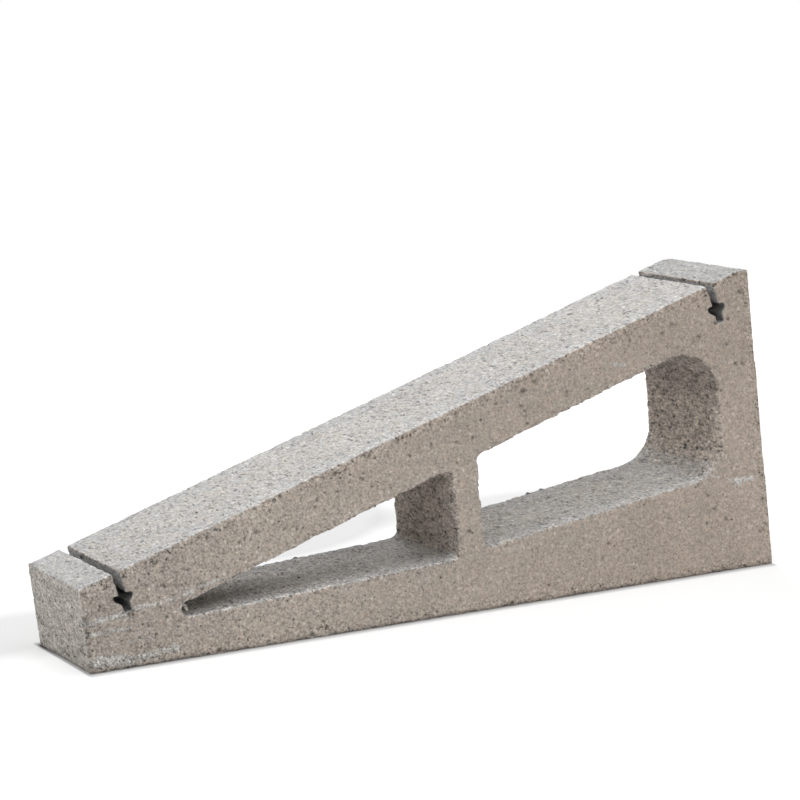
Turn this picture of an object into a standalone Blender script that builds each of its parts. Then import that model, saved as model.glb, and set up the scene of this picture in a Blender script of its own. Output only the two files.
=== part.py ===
"""Ballast block for a solar panel: one wedge of dry-cast concrete with two openings and two clamp slots.

The block lies along X with its low end at -X and its tall end at +X, its width runs along Y, and it stands on
Z = 0. Its profile is drawn in x and z, with x measured from the foot of the low end, and runs through the width.
All lengths are in metres and all angles in degrees.
"""
import math

import bmesh
import bpy
from mathutils import Vector

# The wedge
BASE_LENGTH = 0.800
BLOCK_WIDTH = 0.200
FRONT_HEIGHT = 0.0925
REAR_HEIGHT = 0.3385
NOSE_OVERHANG = 0.0045
REAR_LEAN = 0.004
REAR_CAP_LEVEL = 0.014
ARRIS = 0.002

# The beam under the seat, the web and the rear post
BEAM_DEPTH_FRONT = 0.067
BEAM_DEPTH_REAR = 0.0575
WEB_DISTANCE = 0.4255
WEB_THICKNESS = 0.0295
REAR_POST = 0.051

# The lower chord, whose top is the floor of both openings
CHORD_AT_WEB_FRONT = 0.0607
CHORD_AT_WEB_REAR = 0.0684
FRONT_FLOOR_ANGLE = 2.9
REAR_FLOOR_ANGLE = 7.9

# The corners of the openings, and how far each side of them moves out towards the far face
TIP_RADIUS = 0.0084
FRONT_CORNER_RADIUS = 0.009
REAR_FOOT_RADIUS = 0.005
REAR_HEAD_RADIUS = 0.010
REAR_BEND_RADIUS = 0.0455
OPENING_DRAFT = 0.0025
ARC_STEP = 6.0

# The clamp slots: a neck, a cross-bar for the clamp's head and a pocket below it
FRONT_SLOT_INSET = 0.0367
REAR_SLOT_INSET = 0.0515
SLOT_LEAN = 14.0
NECK_WIDTH = 0.0076
NECK_DEPTH = 0.025
BAR_WIDTH = 0.0208
BAR_HEIGHT = 0.005
SHOULDER_DROP = 0.0055
POCKET_WIDTH = 0.0086
POCKET_HEIGHT = 0.009

# How far a cutter runs past what it cuts
CUTTER_OVERRUN = 0.006

# The edges and the surface
ARRIS_SEGMENTS = 2
SHARP_ANGLE = 30.0
CONCRETE_COLOUR = (0.41, 0.37, 0.335, 1.0)
CONCRETE_ROUGHNESS = 0.95


def seat_height(x):
    """Height of the sloping top over a place on the base."""
    return FRONT_HEIGHT + (REAR_HEIGHT - FRONT_HEIGHT) * x / BASE_LENGTH


def beam_underside(x):
    """Height of the beam's lower side, which both openings share."""
    depth = BEAM_DEPTH_FRONT + (BEAM_DEPTH_REAR - BEAM_DEPTH_FRONT) * x / BASE_LENGTH
    return seat_height(x) - depth


def front_floor(x):
    """Height of the small opening's floor."""
    return CHORD_AT_WEB_FRONT + (x - WEB_DISTANCE) * math.tan(math.radians(FRONT_FLOOR_ANGLE))


def rear_floor(x):
    """Height of the large opening's floor."""
    web_rear = WEB_DISTANCE + WEB_THICKNESS
    return CHORD_AT_WEB_REAR + (x - web_rear) * math.tan(math.radians(REAR_FLOOR_ANGLE))


def crossing(height_a, height_b):
    """The point where two straight lines meet, each given as a height over x."""
    gap_at_front = height_a(0) - height_b(0)
    gap_at_rear = height_a(BASE_LENGTH) - height_b(BASE_LENGTH)
    x = BASE_LENGTH * gap_at_front / (gap_at_front - gap_at_rear)
    return Vector((x, height_a(x)))


def block_outline():
    """The wedge without its slots and openings, anticlockwise from the foot of the low end."""
    level_start = BASE_LENGTH - REAR_CAP_LEVEL
    return [
        Vector((0, 0)),
        Vector((BASE_LENGTH, 0)),
        Vector((BASE_LENGTH - REAR_LEAN, seat_height(level_start))),
        Vector((level_start, seat_height(level_start))),
        Vector((-NOSE_OVERHANG, seat_height(-NOSE_OVERHANG))),
    ]


def small_opening_corners():
    """Corners and radii of the small opening, anticlockwise from its tip."""
    return [
        (crossing(front_floor, beam_underside), TIP_RADIUS),
        (Vector((WEB_DISTANCE, front_floor(WEB_DISTANCE))), FRONT_CORNER_RADIUS),
        (Vector((WEB_DISTANCE, beam_underside(WEB_DISTANCE))), FRONT_CORNER_RADIUS),
    ]


def large_opening_corners():
    """Corners and radii of the large opening, anticlockwise from the foot of the web."""
    web_rear = WEB_DISTANCE + WEB_THICKNESS
    rear_wall = BASE_LENGTH - REAR_POST
    return [
        (Vector((web_rear, rear_floor(web_rear))), REAR_FOOT_RADIUS),
        (Vector((rear_wall, rear_floor(rear_wall))), REAR_BEND_RADIUS),
        (Vector((rear_wall, beam_underside(rear_wall))), REAR_BEND_RADIUS),
        (Vector((web_rear, beam_underside(web_rear))), REAR_HEAD_RADIUS),
    ]


def rounded_outline(corners, growth):
    """An anticlockwise outline with rounded corners and every side moved out by the growth."""
    outline = []
    for index, (corner, radius) in enumerate(corners):
        arriving = (corner - corners[index - 1][0]).normalized()
        leaving = (corners[(index + 1) % len(corners)][0] - corner).normalized()
        turn = arriving.angle(leaving)
        centre = corner + (leaving - arriving).normalized() * radius / math.cos(turn / 2)
        first_angle = math.atan2(-arriving.x, arriving.y)
        steps = math.ceil(math.degrees(turn) / ARC_STEP)
        for step in range(steps + 1):
            angle = first_angle + turn * step / steps
            spoke = Vector((math.cos(angle), math.sin(angle)))
            outline.append(centre + spoke * (radius + growth))
    return outline


def slot_outline(mouth_x):
    """A clamp slot from above its mouth down the front side and back up the rear side."""
    shoulder_depth = NECK_DEPTH + BAR_HEIGHT + SHOULDER_DROP
    front_side = [
        (NECK_WIDTH / 2, -CUTTER_OVERRUN),
        (NECK_WIDTH / 2, NECK_DEPTH),
        (BAR_WIDTH / 2, NECK_DEPTH),
        (BAR_WIDTH / 2, NECK_DEPTH + BAR_HEIGHT),
        (POCKET_WIDTH / 2, shoulder_depth),
        (POCKET_WIDTH / 2, shoulder_depth + POCKET_HEIGHT),
    ]
    across = Vector((math.cos(math.radians(SLOT_LEAN)), math.sin(math.radians(SLOT_LEAN))))
    down = Vector((math.sin(math.radians(SLOT_LEAN)), -math.cos(math.radians(SLOT_LEAN))))
    mouth = Vector((mouth_x, seat_height(mouth_x)))
    outline = [mouth - across * half_width + down * depth for half_width, depth in front_side]
    outline += [mouth + across * half_width + down * depth for half_width, depth in reversed(front_side)]
    return outline


def closed_solid(name, near_outline, far_outline, overrun):
    """A solid through the width between two matching outlines, which runs past both faces by the overrun."""
    reach = BLOCK_WIDTH / 2 + overrun
    shape = bmesh.new()
    near_ring = [shape.verts.new((point.x, -reach, point.y)) for point in near_outline]
    far_ring = [shape.verts.new((point.x, reach, point.y)) for point in far_outline]
    shape.faces.new(near_ring)
    shape.faces.new(far_ring)
    for index in range(len(near_ring)):
        previous = index - 1
        shape.faces.new((near_ring[previous], near_ring[index], far_ring[index], far_ring[previous]))
    bmesh.ops.recalc_face_normals(shape, faces=shape.faces)
    mesh = bpy.data.meshes.new(name)
    shape.to_mesh(mesh)
    shape.free()
    mesh.shade_smooth()
    mesh.set_sharp_from_angle(angle=math.radians(SHARP_ANGLE))
    solid = bpy.data.objects.new(name, mesh)
    bpy.context.scene.collection.objects.link(solid)
    return solid


def opening_cutter(name, corners):
    """The core of an opening, which widens evenly from the near face to the far face."""
    growth_past_face = OPENING_DRAFT * CUTTER_OVERRUN / BLOCK_WIDTH
    near_outline = rounded_outline(corners, -growth_past_face)
    far_outline = rounded_outline(corners, OPENING_DRAFT + growth_past_face)
    return closed_solid(name, near_outline, far_outline, CUTTER_OVERRUN)


def slot_cutter(name, mouth_x):
    """The core of a clamp slot, the same through the whole width."""
    outline = slot_outline(mouth_x)
    return closed_solid(name, outline, outline, CUTTER_OVERRUN)


def cut(block, cutter):
    """Takes the cutter away from the block and keeps it as a guide."""
    cutter.parent = block
    cutter.hide_render = True
    cutter.display_type = "WIRE"
    difference = block.modifiers.new(cutter.name, "BOOLEAN")
    difference.operation = "DIFFERENCE"
    difference.solver = "EXACT"
    difference.object = cutter


def soften_edges(block):
    """Rounds every arris of the block, and leaves the fine steps of the arcs alone."""
    bevel = block.modifiers.new("arris", "BEVEL")
    bevel.limit_method = "ANGLE"
    bevel.angle_limit = math.radians(SHARP_ANGLE)
    bevel.width = ARRIS
    bevel.segments = ARRIS_SEGMENTS
    bevel.use_clamp_overlap = False


def concrete_material():
    """Pale grey concrete with no shine."""
    material = bpy.data.materials.new("concrete")
    material.use_nodes = True
    surface = material.node_tree.nodes["Principled BSDF"]
    surface.inputs["Base Color"].default_value = CONCRETE_COLOUR
    surface.inputs["Roughness"].default_value = CONCRETE_ROUGHNESS
    surface.inputs["Metallic"].default_value = 0
    return material


def ballast_block():
    """The whole block, centred over the origin."""
    outline = block_outline()
    block = closed_solid("ballast_block", outline, outline, 0)
    cut(block, opening_cutter("small_opening_core", small_opening_corners()))
    cut(block, opening_cutter("large_opening_core", large_opening_corners()))
    cut(block, slot_cutter("front_slot_core", FRONT_SLOT_INSET))
    cut(block, slot_cutter("rear_slot_core", BASE_LENGTH - REAR_SLOT_INSET))
    soften_edges(block)
    block.data.materials.append(concrete_material())
    block.location.x = -(BASE_LENGTH - NOSE_OVERHANG) / 2
    return block


def clear_scene():
    """Removes the objects that a new file starts with."""
    for item in list(bpy.data.objects):
        bpy.data.objects.remove(item, do_unlink=True)


clear_scene()
ballast_block()
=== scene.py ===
"""The looks of the ballast block: dry-cast concrete with open grain, worn arrises, chips and lime streaks.

One dense mesh of the same form stands for the CAD node. It is the zero level of a distance field, which starts
as the CAD's own profile and then loses grain, pits and chips. Lengths are in metres and angles in degrees.
Places on the block have x from the foot of the low end, z from the ground, and y across from the middle of the
width. The lamps, the shades on the floor and the camera are placed in the frame.
"""

import math

import bpy
import numpy as np
from mathutils import Euler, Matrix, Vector


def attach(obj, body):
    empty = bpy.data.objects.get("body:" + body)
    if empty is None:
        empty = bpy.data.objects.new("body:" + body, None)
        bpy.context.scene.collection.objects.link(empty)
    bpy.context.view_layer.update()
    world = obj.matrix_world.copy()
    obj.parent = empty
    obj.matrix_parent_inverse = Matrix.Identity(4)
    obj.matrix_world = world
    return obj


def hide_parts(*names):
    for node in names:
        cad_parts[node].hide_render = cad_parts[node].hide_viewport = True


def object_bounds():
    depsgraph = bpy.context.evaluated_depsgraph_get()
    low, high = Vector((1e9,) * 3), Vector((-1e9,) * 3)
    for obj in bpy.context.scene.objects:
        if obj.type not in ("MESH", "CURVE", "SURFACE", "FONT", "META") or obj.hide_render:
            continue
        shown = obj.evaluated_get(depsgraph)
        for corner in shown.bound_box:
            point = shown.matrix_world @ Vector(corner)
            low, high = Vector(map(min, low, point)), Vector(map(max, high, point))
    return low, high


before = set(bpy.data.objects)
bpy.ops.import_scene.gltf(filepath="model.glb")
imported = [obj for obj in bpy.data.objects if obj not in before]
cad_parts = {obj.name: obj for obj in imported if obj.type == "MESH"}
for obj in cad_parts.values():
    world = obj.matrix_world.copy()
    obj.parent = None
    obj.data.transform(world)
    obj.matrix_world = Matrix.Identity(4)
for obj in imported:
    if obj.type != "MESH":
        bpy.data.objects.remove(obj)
CAD_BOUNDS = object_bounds()

# The wedge, as in the CAD
BASE_LENGTH = 0.800
BLOCK_WIDTH = 0.200
FRONT_HEIGHT = 0.0925
REAR_HEIGHT = 0.3385
NOSE_OVERHANG = 0.0045
REAR_LEAN = 0.004
REAR_CAP_LEVEL = 0.014
BEAM_DEPTH_FRONT = 0.067
BEAM_DEPTH_REAR = 0.0575
WEB_DISTANCE = 0.4255
WEB_THICKNESS = 0.0295
REAR_POST = 0.051
CHORD_AT_WEB_FRONT = 0.0607
CHORD_AT_WEB_REAR = 0.0684
FRONT_FLOOR_ANGLE = 2.9
REAR_FLOOR_ANGLE = 7.9
TIP_RADIUS = 0.0084
FRONT_CORNER_RADIUS = 0.009
REAR_FOOT_RADIUS = 0.005
REAR_HEAD_RADIUS = 0.010
REAR_BEND_RADIUS = 0.0455
OPENING_DRAFT = 0.0025
ARC_STEP = 6.0

# The clamp slots, as in the CAD
FRONT_SLOT_INSET = 0.0367
REAR_SLOT_INSET = 0.0515
SLOT_LEAN = 14.0
NECK_WIDTH = 0.0076
NECK_DEPTH = 0.025
BAR_WIDTH = 0.0208
BAR_HEIGHT = 0.005
SHOULDER_DROP = 0.0055
POCKET_WIDTH = 0.0086
POCKET_HEIGHT = 0.009
MOUTH_OVERRUN = 0.020

# Where the profile's x starts in the frame, the near face, and where the two caps meet the seat
FOOT_X = -(BASE_LENGTH - NOSE_OVERHANG) / 2
NEAR_FACE = -BLOCK_WIDTH / 2
CAP_START = FOOT_X + BASE_LENGTH - REAR_SLOT_INSET
LOW_CAP_END = FOOT_X + FRONT_SLOT_INSET

# The distance field: its cells, the margin round the block and the depth of the layer that gets detail
CELL = 0.0016
MARGIN = 0.006
DETAIL_DEPTH = 0.0055
TRIANGLE_BUDGET = 196000

# How the edges are worn: the radius of each kind of arris, and the pieces nibbled out of them
NEAR_TOP_ARRIS = 0.0012
FAR_TOP_ARRIS = 0.0010
FOOT_ARRIS = 0.0008
END_ARRIS = 0.0004
OPENING_ARRIS = 0.0006
SLOT_ARRIS = 0.0006
FOOT_BAND = 0.018
NIBBLE_SIZES = (0.0032, 0.0070, 0.021)
NIBBLE_DEPTH = 0.0028
NIBBLE_REACH = 0.0042
NIBBLE_START = 0.49
NIBBLE_SPAN = 0.2
TOP_NIBBLE_SHARE = 0.6
FAR_NIBBLE_SHARE = 0.45
OPENING_NIBBLE_SHARE = 0.3
REAR_NIBBLE_SHARE = 0.15
REAR_NIBBLE_START = 0.77
CRISP_BAND = 0.012
CRISP_WEAR = 0.3

# How unevenly the arrises are worn: the size of the uneven stretches, and the wear's levels and limits
WEAR_SIZE = 0.012
WEAR_BASE = 0.3
WEAR_SWING = 1.4
WEAR_LIMITS = (0.35, 1.7)

# Geometry of the grain: size of the lumps, and their depth on each kind of face
LUMP_SIZES = (0.0036, 0.0062, 0.014)
LUMP_SHARES = (0.5, 0.3, 0.2)
LUMP_CONTRAST = 2.2
LUMP_OFFSET = 0.6
DRAG = 2.6
SIDE_GRAIN = 0.0005
SEAT_GRAIN = 0.0007
END_GRAIN = 0.0004
END_STANDOUT = 0.0005
INNER_GRAIN = 0.0017
INNER_STANDOUT = 0.0011

# Open pits: their number, radii, standoff and stretch, and the band at the rear edges that has none
PIT_COUNT = 4200
PIT_RADII = (0.0012, 0.0026)
PIT_STANDOFF_SHARE = 0.35
PIT_STRETCH = (1, 1.3, 1)
REAR_EDGE_BAND = 0.006

# Where the surface is most open: along the rims, and towards the low end
OPEN_LEAST = 0.3
OPEN_LOW_END_SHARE = 0.5
OPEN_LOW_END_REACH = 0.45
OPEN_RIM_SHARE = 0.7
OPEN_RIM_REACH = 0.014

# Where each random pattern starts
WEAR_SEED = 11
GRAIN_SEED = 21
NIBBLE_SEED = 31
PIT_SEED = 41

# Chips broken out of the near face's edges: x, z and radius
NEAR_CHIPS = [
    (0.001, 0.0547, 0.0030), (0.0015, 0.0420, 0.0028), (0.0102, 0.0020, 0.0026), (0.0944, 0.0040, 0.0026),
    (0.1429, 0.0030, 0.0040), (0.1490, 0.0025, 0.0032), (0.1735, 0.0020, 0.0030), (0.1869, 0.0040, 0.0026),
    (0.2512, 0.0025, 0.0028), (0.2746, 0.0025, 0.0030), (0.7050, 0.0045, 0.0030), (0.7127, 0.0035, 0.0028),
    (0.7252, 0.0030, 0.0026), (0.7406, 0.0028, 0.0026),
]
NEAR_CHIP_MIDDLE = -0.101
# Chips at the small opening's tip and along the far top edge: middle (x, y, z) and radius
CHIPS = [
    ((0.0473, -0.1005, 0.0585), 0.0030),
    ((0.0525, -0.1005, 0.0600), 0.0030),
    ((0.800, 0.101, 0.336), 0.0080),
    ((0.284, 0.102, 0.184), 0.0080),
    ((0.556, 0.1015, 0.266), 0.0045),
]
# Dark pits that stand out on the near face: x, z and radius
SIDE_PITS = [
    (0.512, 0.218, 0.0017), (0.515, 0.212, 0.0022), (0.517, 0.206, 0.0017), (0.517, 0.198, 0.0023),
    (0.219, 0.155, 0.0022), (0.226, 0.159, 0.0019), (0.197, 0.150, 0.0016), (0.196, 0.124, 0.0018),
    (0.176, 0.116, 0.0018), (0.071, 0.110, 0.0018), (0.086, 0.083, 0.0017), (0.290, 0.174, 0.0022),
    (0.322, 0.164, 0.0022), (0.332, 0.154, 0.0018), (0.366, 0.200, 0.0018), (0.375, 0.203, 0.0017),
    (0.324, 0.189, 0.0018), (0.331, 0.188, 0.0018), (0.378, 0.181, 0.0019), (0.404, 0.191, 0.0018),
    (0.404, 0.212, 0.0018), (0.432, 0.189, 0.0019), (0.568, 0.226, 0.0019), (0.439, 0.090, 0.0018),
    (0.480, 0.067, 0.0019), (0.686, 0.276, 0.0018), (0.731, 0.266, 0.0018), (0.647, 0.273, 0.0018),
    (0.727, 0.088, 0.0017), (0.733, 0.072, 0.0019), (0.746, 0.060, 0.0022), (0.713, 0.037, 0.0018),
    (0.788, 0.039, 0.0020), (0.716, 0.102, 0.0021), (0.782, 0.330, 0.0024), (0.527, 0.250, 0.0020),
    (0.530, 0.2425, 0.0024), (0.514, 0.234, 0.0019), (0.470, 0.2335, 0.0018), (0.472, 0.229, 0.0018),
    (0.482, 0.224, 0.0017), (0.435, 0.220, 0.0018), (0.7515, 0.279, 0.0018), (0.764, 0.2535, 0.0018),
    (0.781, 0.2305, 0.0018), (0.784, 0.311, 0.0018), (0.698, 0.284, 0.0017),
]
SIDE_PIT_MIDDLE = -0.1008
# Crumbs that stick up from the floors of the openings: middle (x, y, z) and radius
CRUMBS = [
    ((0.1106, -0.0965, 0.0558), 0.0025),
    ((0.1120, -0.0965, 0.0524), 0.0022),
    ((0.3035, 0.0985, 0.0512), 0.0029),
    ((0.5919, 0.0985, 0.0843), 0.0027),
    ((0.6040, 0.0985, 0.0848), 0.0024),
    ((0.6085, 0.0985, 0.0866), 0.0027),
]

# Dark spots on the seat at its far edge: x, y and radius
SEAT_SPOTS = [(0.556, 0.094, 0.0040), (0.665, 0.094, 0.0030)]

# How far under the face a hole starts to get painted shade, over what depth the shade deepens, and how dark
# the painted shade on far crumbs is
HOLLOW_START = 0.0009
HOLLOW_SPAN = 0.0014
CRUMB_HOLLOW_SHARE = 0.9

# How the openings' mark fades, how the slots' mark of painted shade reaches past their walls and keeps off the
# faces, and how it deepens from the neck to the cross-bar
WALL_FADE = 0.002
SLOT_REACH = 0.0006
SLOT_RIM = 0.001
SLOT_FADE = 0.001
SHALLOW_SLOT_SHARE = 0.3
SHALLOW_SLOT_DEPTH = 0.008
SHALLOW_SLOT_LEAST = 0.3
DEEP_SLOT_START = 0.020
DEEP_SLOT_SPAN = 0.005
DEEP_SLOT_RIM = 0.0005
DEEP_SLOT_FADE = 0.004

# The concrete's cloudy patterns, each with its size and its fineness, and the sizes of its stones and pits
SAND = (0.0023, 3.0)
SILT = (0.00552, 2.0)
CLUMPS = (0.00828, 1.0)
BLOTCHES = (0.045, 3.0)
LIME_SPECKS = (0.0024, 2.0)
NOISE_ROUGHNESS = 0.6
STONE_SIZE = 0.0042
PIT_SIZE = 0.0052
CELL_WANDER = 0.9
WANDER_DETAIL = 1.0

# The values that a cloudy pattern takes, and the slopes that count as level and as the low end
NOISE_RANGE = (0.3, 0.7)
LEVEL_NORMALS = (0.45, 0.85)
LOW_END_NORMALS = (-0.3, -0.8)

# Painted pits and stones: which cells they take, how far they reach and how their edges fade
PIT_CHOICE = (0.4, 1.0)
PIT_REACH = 0.38
CLOSED_PIT_SHARE = 0.2
PIT_RAGGEDNESS = 0.16
PIT_EDGE = 0.10
STONE_EDGE = (0.55, 0.25)
BRIGHT_STONE_CHOICE = (0.76, 0.90)
DARK_STONE_CHOICE = (0.68, 0.82)

# What each pattern adds to the tone, and how strong the grain is. Pairs of shares, tones or contrasts are for
# steep and level faces, but OPEN_CONTRASTS is for closed and open grain and BLOTCH_TONES for dark and pale
SAND_RANGE = (0.28, 0.72)
SAND_TONE = 0.42
SILT_TONE = 0.18
SILT_SHARES = (1.0, 0.7)
CLUMP_TONE = 0.12
BRIGHT_STONE_TONE = 0.22
DARK_STONE_TONE = -0.34
OPEN_CONTRASTS = (0.74, 1.36)
LEVEL_CONTRAST = -0.42
INNER_CONTRASTS = (0.86, 0.90)
BLOTCH_TONES = (0.96, 1.08)
LEAST_TONE = 0.12

# What the tone is multiplied by in holes, in the openings and in the slots; in the holes, the painted pits and
# the slots this is painted shade
HOLE_SHADE_TONES = (0.43, 0.62)
PIT_SHADE_TONES = (0.45, 0.62)
INNER_TONES = (1.06, 1.0)
SLOT_SHADE_TONE = 0.50

# The same: painted shade close over the ground, then towards the low end, high up on the sides and on the tall
# end's cap
GROUND_BAND = (0.006, 0.001)
GROUND_SHADE_TONE = 0.8
LOW_END_REACH = 0.20
LOW_END_TONES = (0.87, 0.92)
RAISED_BAND = (0.12, 0.28)
RAISED_TONE = 0.92
CAP_FADE = 0.004
REAR_CAP_TONE = 0.89

# The same: painted light on the near part of the small opening's floor, then in specks along the foot and on
# the low end's edge
SILL_BAND = (0.055, 0.030)
SILL_LIGHT_TONE = 1.28
FOOT_SPECK_BAND = (0.0045, 0.0010)
FOOT_SPECK_CHOICE = (0.46, 0.62)
FOOT_SPECK_TONE = 0.5
CORNER_END_BAND = (0.005, 0.001)
CORNER_SIDE_BAND = (0.005, 0.002)
CORNER_HEIGHTS = (0.075, 0.060)
CORNER_CHOICE = (0.4, 0.6)
CORNER_TONE = 0.62

# What the painted highlight along the near top edge adds, and the painted glints on the sand behind it
HIGHLIGHT_BAND = (0.0075, 0.003)
INNER_HIGHLIGHT_SHARE = 0.4
HIGHLIGHT_TONE = 0.14
SPARKLE_BAND = (0.024, 0.004)
SPARKLE_CHOICE = (0.52, 0.64)
SPARKLE_TONE = 0.26

# The colours
SIDE_GREY = (0.506, 0.459, 0.408, 1)
SIDE_WARM = (0.549, 0.459, 0.389, 1)
TOP_GREY = (0.500, 0.497, 0.492, 1)
TOP_WARM = (0.533, 0.501, 0.464, 1)
END_GREY = (0.600, 0.556, 0.508, 1)
INNER_GREY = (0.500, 0.470, 0.440, 1)
SLOT_GREY = (0.525, 0.518, 0.508, 1)
LIME_COLOUR = (0.74, 0.72, 0.69, 1)

# How greys and warm tints are shared out: on the sides by stone, blotch and length, and on the seat by clump
# and across the width
STONE_WARMTH = 0.4
BLOTCH_WARMTH = 0.3
END_WARMTHS = (0.05, 0.4)
SIDE_WARMTH_RANGE = (0.25, 0.85)
INNER_GREY_SHARE = 0.35
SEAT_WARMTH_RANGE = (0.10, 0.45)
SEAT_NEAR_BAND = (-0.09, -0.05)
SEAT_NEAR_WARMTHS = (-0.2, 0.15)
SEAT_FAR_BAND = (0.05, 0.085)
SEAT_FAR_LOSS = 0.55
CAP_WARMTH_LOSS = 0.4
SLOT_COLOUR_RANGE = (0.03, 0.09)
BRIGHT_STONE_SHARE = 0.2

# Lime: what a bright stone adds to it, and between which values it sets in
LIME_STONE_SHARE = 0.15
LIME_EDGE = (0.32, 0.46)

# The finest relief, which is only shaded, and the finish
BUMP_DEPTH = 0.0014
STONE_RELIEF = -0.6
PIT_RELIEF = -1.2
LIME_RELIEF = 0.5
ROUGHNESS = 0.94
SPECULAR = 0.25

# Pale lime streaks on the near face: both ends, half width and strength
LIME_DEPTH = 0.004
LIME_FADE_SHARE = 1.5
LIME_STREAKS = [
    ((0.0, 0.054), (0.0425, 0.0585), 0.0042, 1.0),
    ((0.054, 0.0623), (0.0984, 0.0664), 0.0032, 1.0),
    ((0.0984, 0.0664), (0.1496, 0.0793), 0.0026, 1.0),
    ((0.1496, 0.0793), (0.1750, 0.0845), 0.0018, 0.75),
    ((0.004, 0.0411), (0.0466, 0.0428), 0.0030, 1.0),
    ((0.0225, 0.0274), (0.0719, 0.0278), 0.0024, 0.85),
    ((0.0068, 0.012), (0.040, 0.010), 0.008, 0.95),
    ((0.040, 0.008), (0.096, 0.014), 0.006, 0.85),
    ((0.283, 0.047), (0.298, 0.048), 0.0015, 1.0),
    ((0.6208, 0.2491), (0.6387, 0.2467), 0.003, 1.0),
    ((0.6626, 0.2414), (0.6746, 0.240), 0.0025, 0.9),
    ((0.275, 0.1265), (0.303, 0.125), 0.0020, 0.8),
    ((0.279, 0.150), (0.281, 0.1475), 0.0025, 0.8),
    ((0.733, 0.109), (0.742, 0.106), 0.0024, 1.0),
    ((0.749, 0.105), (0.7575, 0.101), 0.0030, 0.9),
    ((0.764, 0.1005), (0.782, 0.100), 0.0038, 1.05),
    ((0.7605, 0.0955), (0.767, 0.0955), 0.0028, 1.0),
]

# Patches of painted shade on the walls of the openings: middle (x, z), half length and half height, and how
# much darker
SHADE_PATCH_FADE_SHARE = 1.6
PAINTED_SHADE_PATCHES = [
    ((0.385, 0.058), (0.085, 0.012), 0.18),
    ((0.4255, 0.100), (0.020, 0.060), 0.14),
    ((0.740, 0.232), (0.070, 0.035), 0.26),
    ((0.480, 0.075), (0.060, 0.030), 0.05),
]

# The light: the even level all round, then each lamp's name, place, size and power
AMBIENT = 0.10
LAMPS = [
    ("overhead", (0.4, -0.5, 3.0), 2.6, 41),
    ("back", (0.5, 2.5, 1.8), 1.5, 47),
    ("back_low", (0.3, 3.0, 0.8), 1.5, 32),
    ("front_left", (-1.2, -2.4, 1.6), 1.5, 16),
    ("front_right", (0.9, -2.3, 2.0), 1.5, 14),
    ("left", (-2.2, -0.3, 2.2), 1.5, 25),
]
WHITE = (1, 1, 1, 1)

# The floor: half its width, its glow and colour for the camera, and the colour that it sends back to the block
FLOOR_HALF = 2.4
FLOOR_GLOW = 0.65
FLOOR_COLOUR = (0.42, 0.42, 0.42, 1)
FLOOR_BOUNCE = (0.8, 0.8, 0.8, 1)

# The soft shades on the floor past the low end and behind the block: middle, half length and half width, turn,
# how much glow it takes away and how soft its edge is
SHADES = [
    ((-0.44, 0.185), (0.30, 0.135), 0.0, 0.26, 0.30),
    ((0.037, 0.585), (0.24, 0.155), 55.7, 0.29, 0.13),
    ((0.34, 0.50), (0.15, 0.12), 0.0, 0.26, 0.35),
]

# The shade close round the block's foot: its strength, its reach past the sides, and its share past the ends
CONTACT_SHADE = 0.55
CONTACT_REACH = 0.019
CONTACT_END_SHARE = 0.20

# The camera of the photograph
CAMERA_PLACE = (-1.40984, -3.82143, 0.79333)
CAMERA_TURN = (82.0797, 5.0598, -21.1033)
CAMERA_LENS = 167.635
SENSOR_WIDTH = 36.0


def seat_height(x):
    """Height of the sloping top over a place on the base."""
    return FRONT_HEIGHT + (REAR_HEIGHT - FRONT_HEIGHT) * x / BASE_LENGTH


def beam_underside(x):
    """Height of the beam's lower side."""
    return seat_height(x) - BEAM_DEPTH_FRONT - (BEAM_DEPTH_REAR - BEAM_DEPTH_FRONT) * x / BASE_LENGTH


def front_floor(x):
    """Height of the small opening's floor."""
    return CHORD_AT_WEB_FRONT + (x - WEB_DISTANCE) * math.tan(math.radians(FRONT_FLOOR_ANGLE))


def rear_floor(x):
    """Height of the large opening's floor."""
    web_rear = WEB_DISTANCE + WEB_THICKNESS
    return CHORD_AT_WEB_REAR + (x - web_rear) * math.tan(math.radians(REAR_FLOOR_ANGLE))


def crossing(height_a, height_b):
    """The point where two straight lines meet, each given as a height over x."""
    gap_at_front = height_a(0) - height_b(0)
    gap_at_rear = height_a(BASE_LENGTH) - height_b(BASE_LENGTH)
    x = BASE_LENGTH * gap_at_front / (gap_at_front - gap_at_rear)
    return Vector((x, height_a(x)))


def block_outline():
    """The wedge without slots and openings, anticlockwise from the foot of the low end."""
    level_start = BASE_LENGTH - REAR_CAP_LEVEL
    return [
        Vector((0, 0)),
        Vector((BASE_LENGTH, 0)),
        Vector((BASE_LENGTH - REAR_LEAN, seat_height(level_start))),
        Vector((level_start, seat_height(level_start))),
        Vector((-NOSE_OVERHANG, seat_height(-NOSE_OVERHANG))),
    ]


def small_opening_outline():
    """The small opening, anticlockwise from its tip."""
    return rounded_outline([
        (crossing(front_floor, beam_underside), TIP_RADIUS),
        (Vector((WEB_DISTANCE, front_floor(WEB_DISTANCE))), FRONT_CORNER_RADIUS),
        (Vector((WEB_DISTANCE, beam_underside(WEB_DISTANCE))), FRONT_CORNER_RADIUS),
    ])


def large_opening_outline():
    """The large opening, anticlockwise from the foot of the web."""
    web_rear = WEB_DISTANCE + WEB_THICKNESS
    rear_wall = BASE_LENGTH - REAR_POST
    return rounded_outline([
        (Vector((web_rear, rear_floor(web_rear))), REAR_FOOT_RADIUS),
        (Vector((rear_wall, rear_floor(rear_wall))), REAR_BEND_RADIUS),
        (Vector((rear_wall, beam_underside(rear_wall))), REAR_BEND_RADIUS),
        (Vector((web_rear, beam_underside(web_rear))), REAR_HEAD_RADIUS),
    ])


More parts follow.
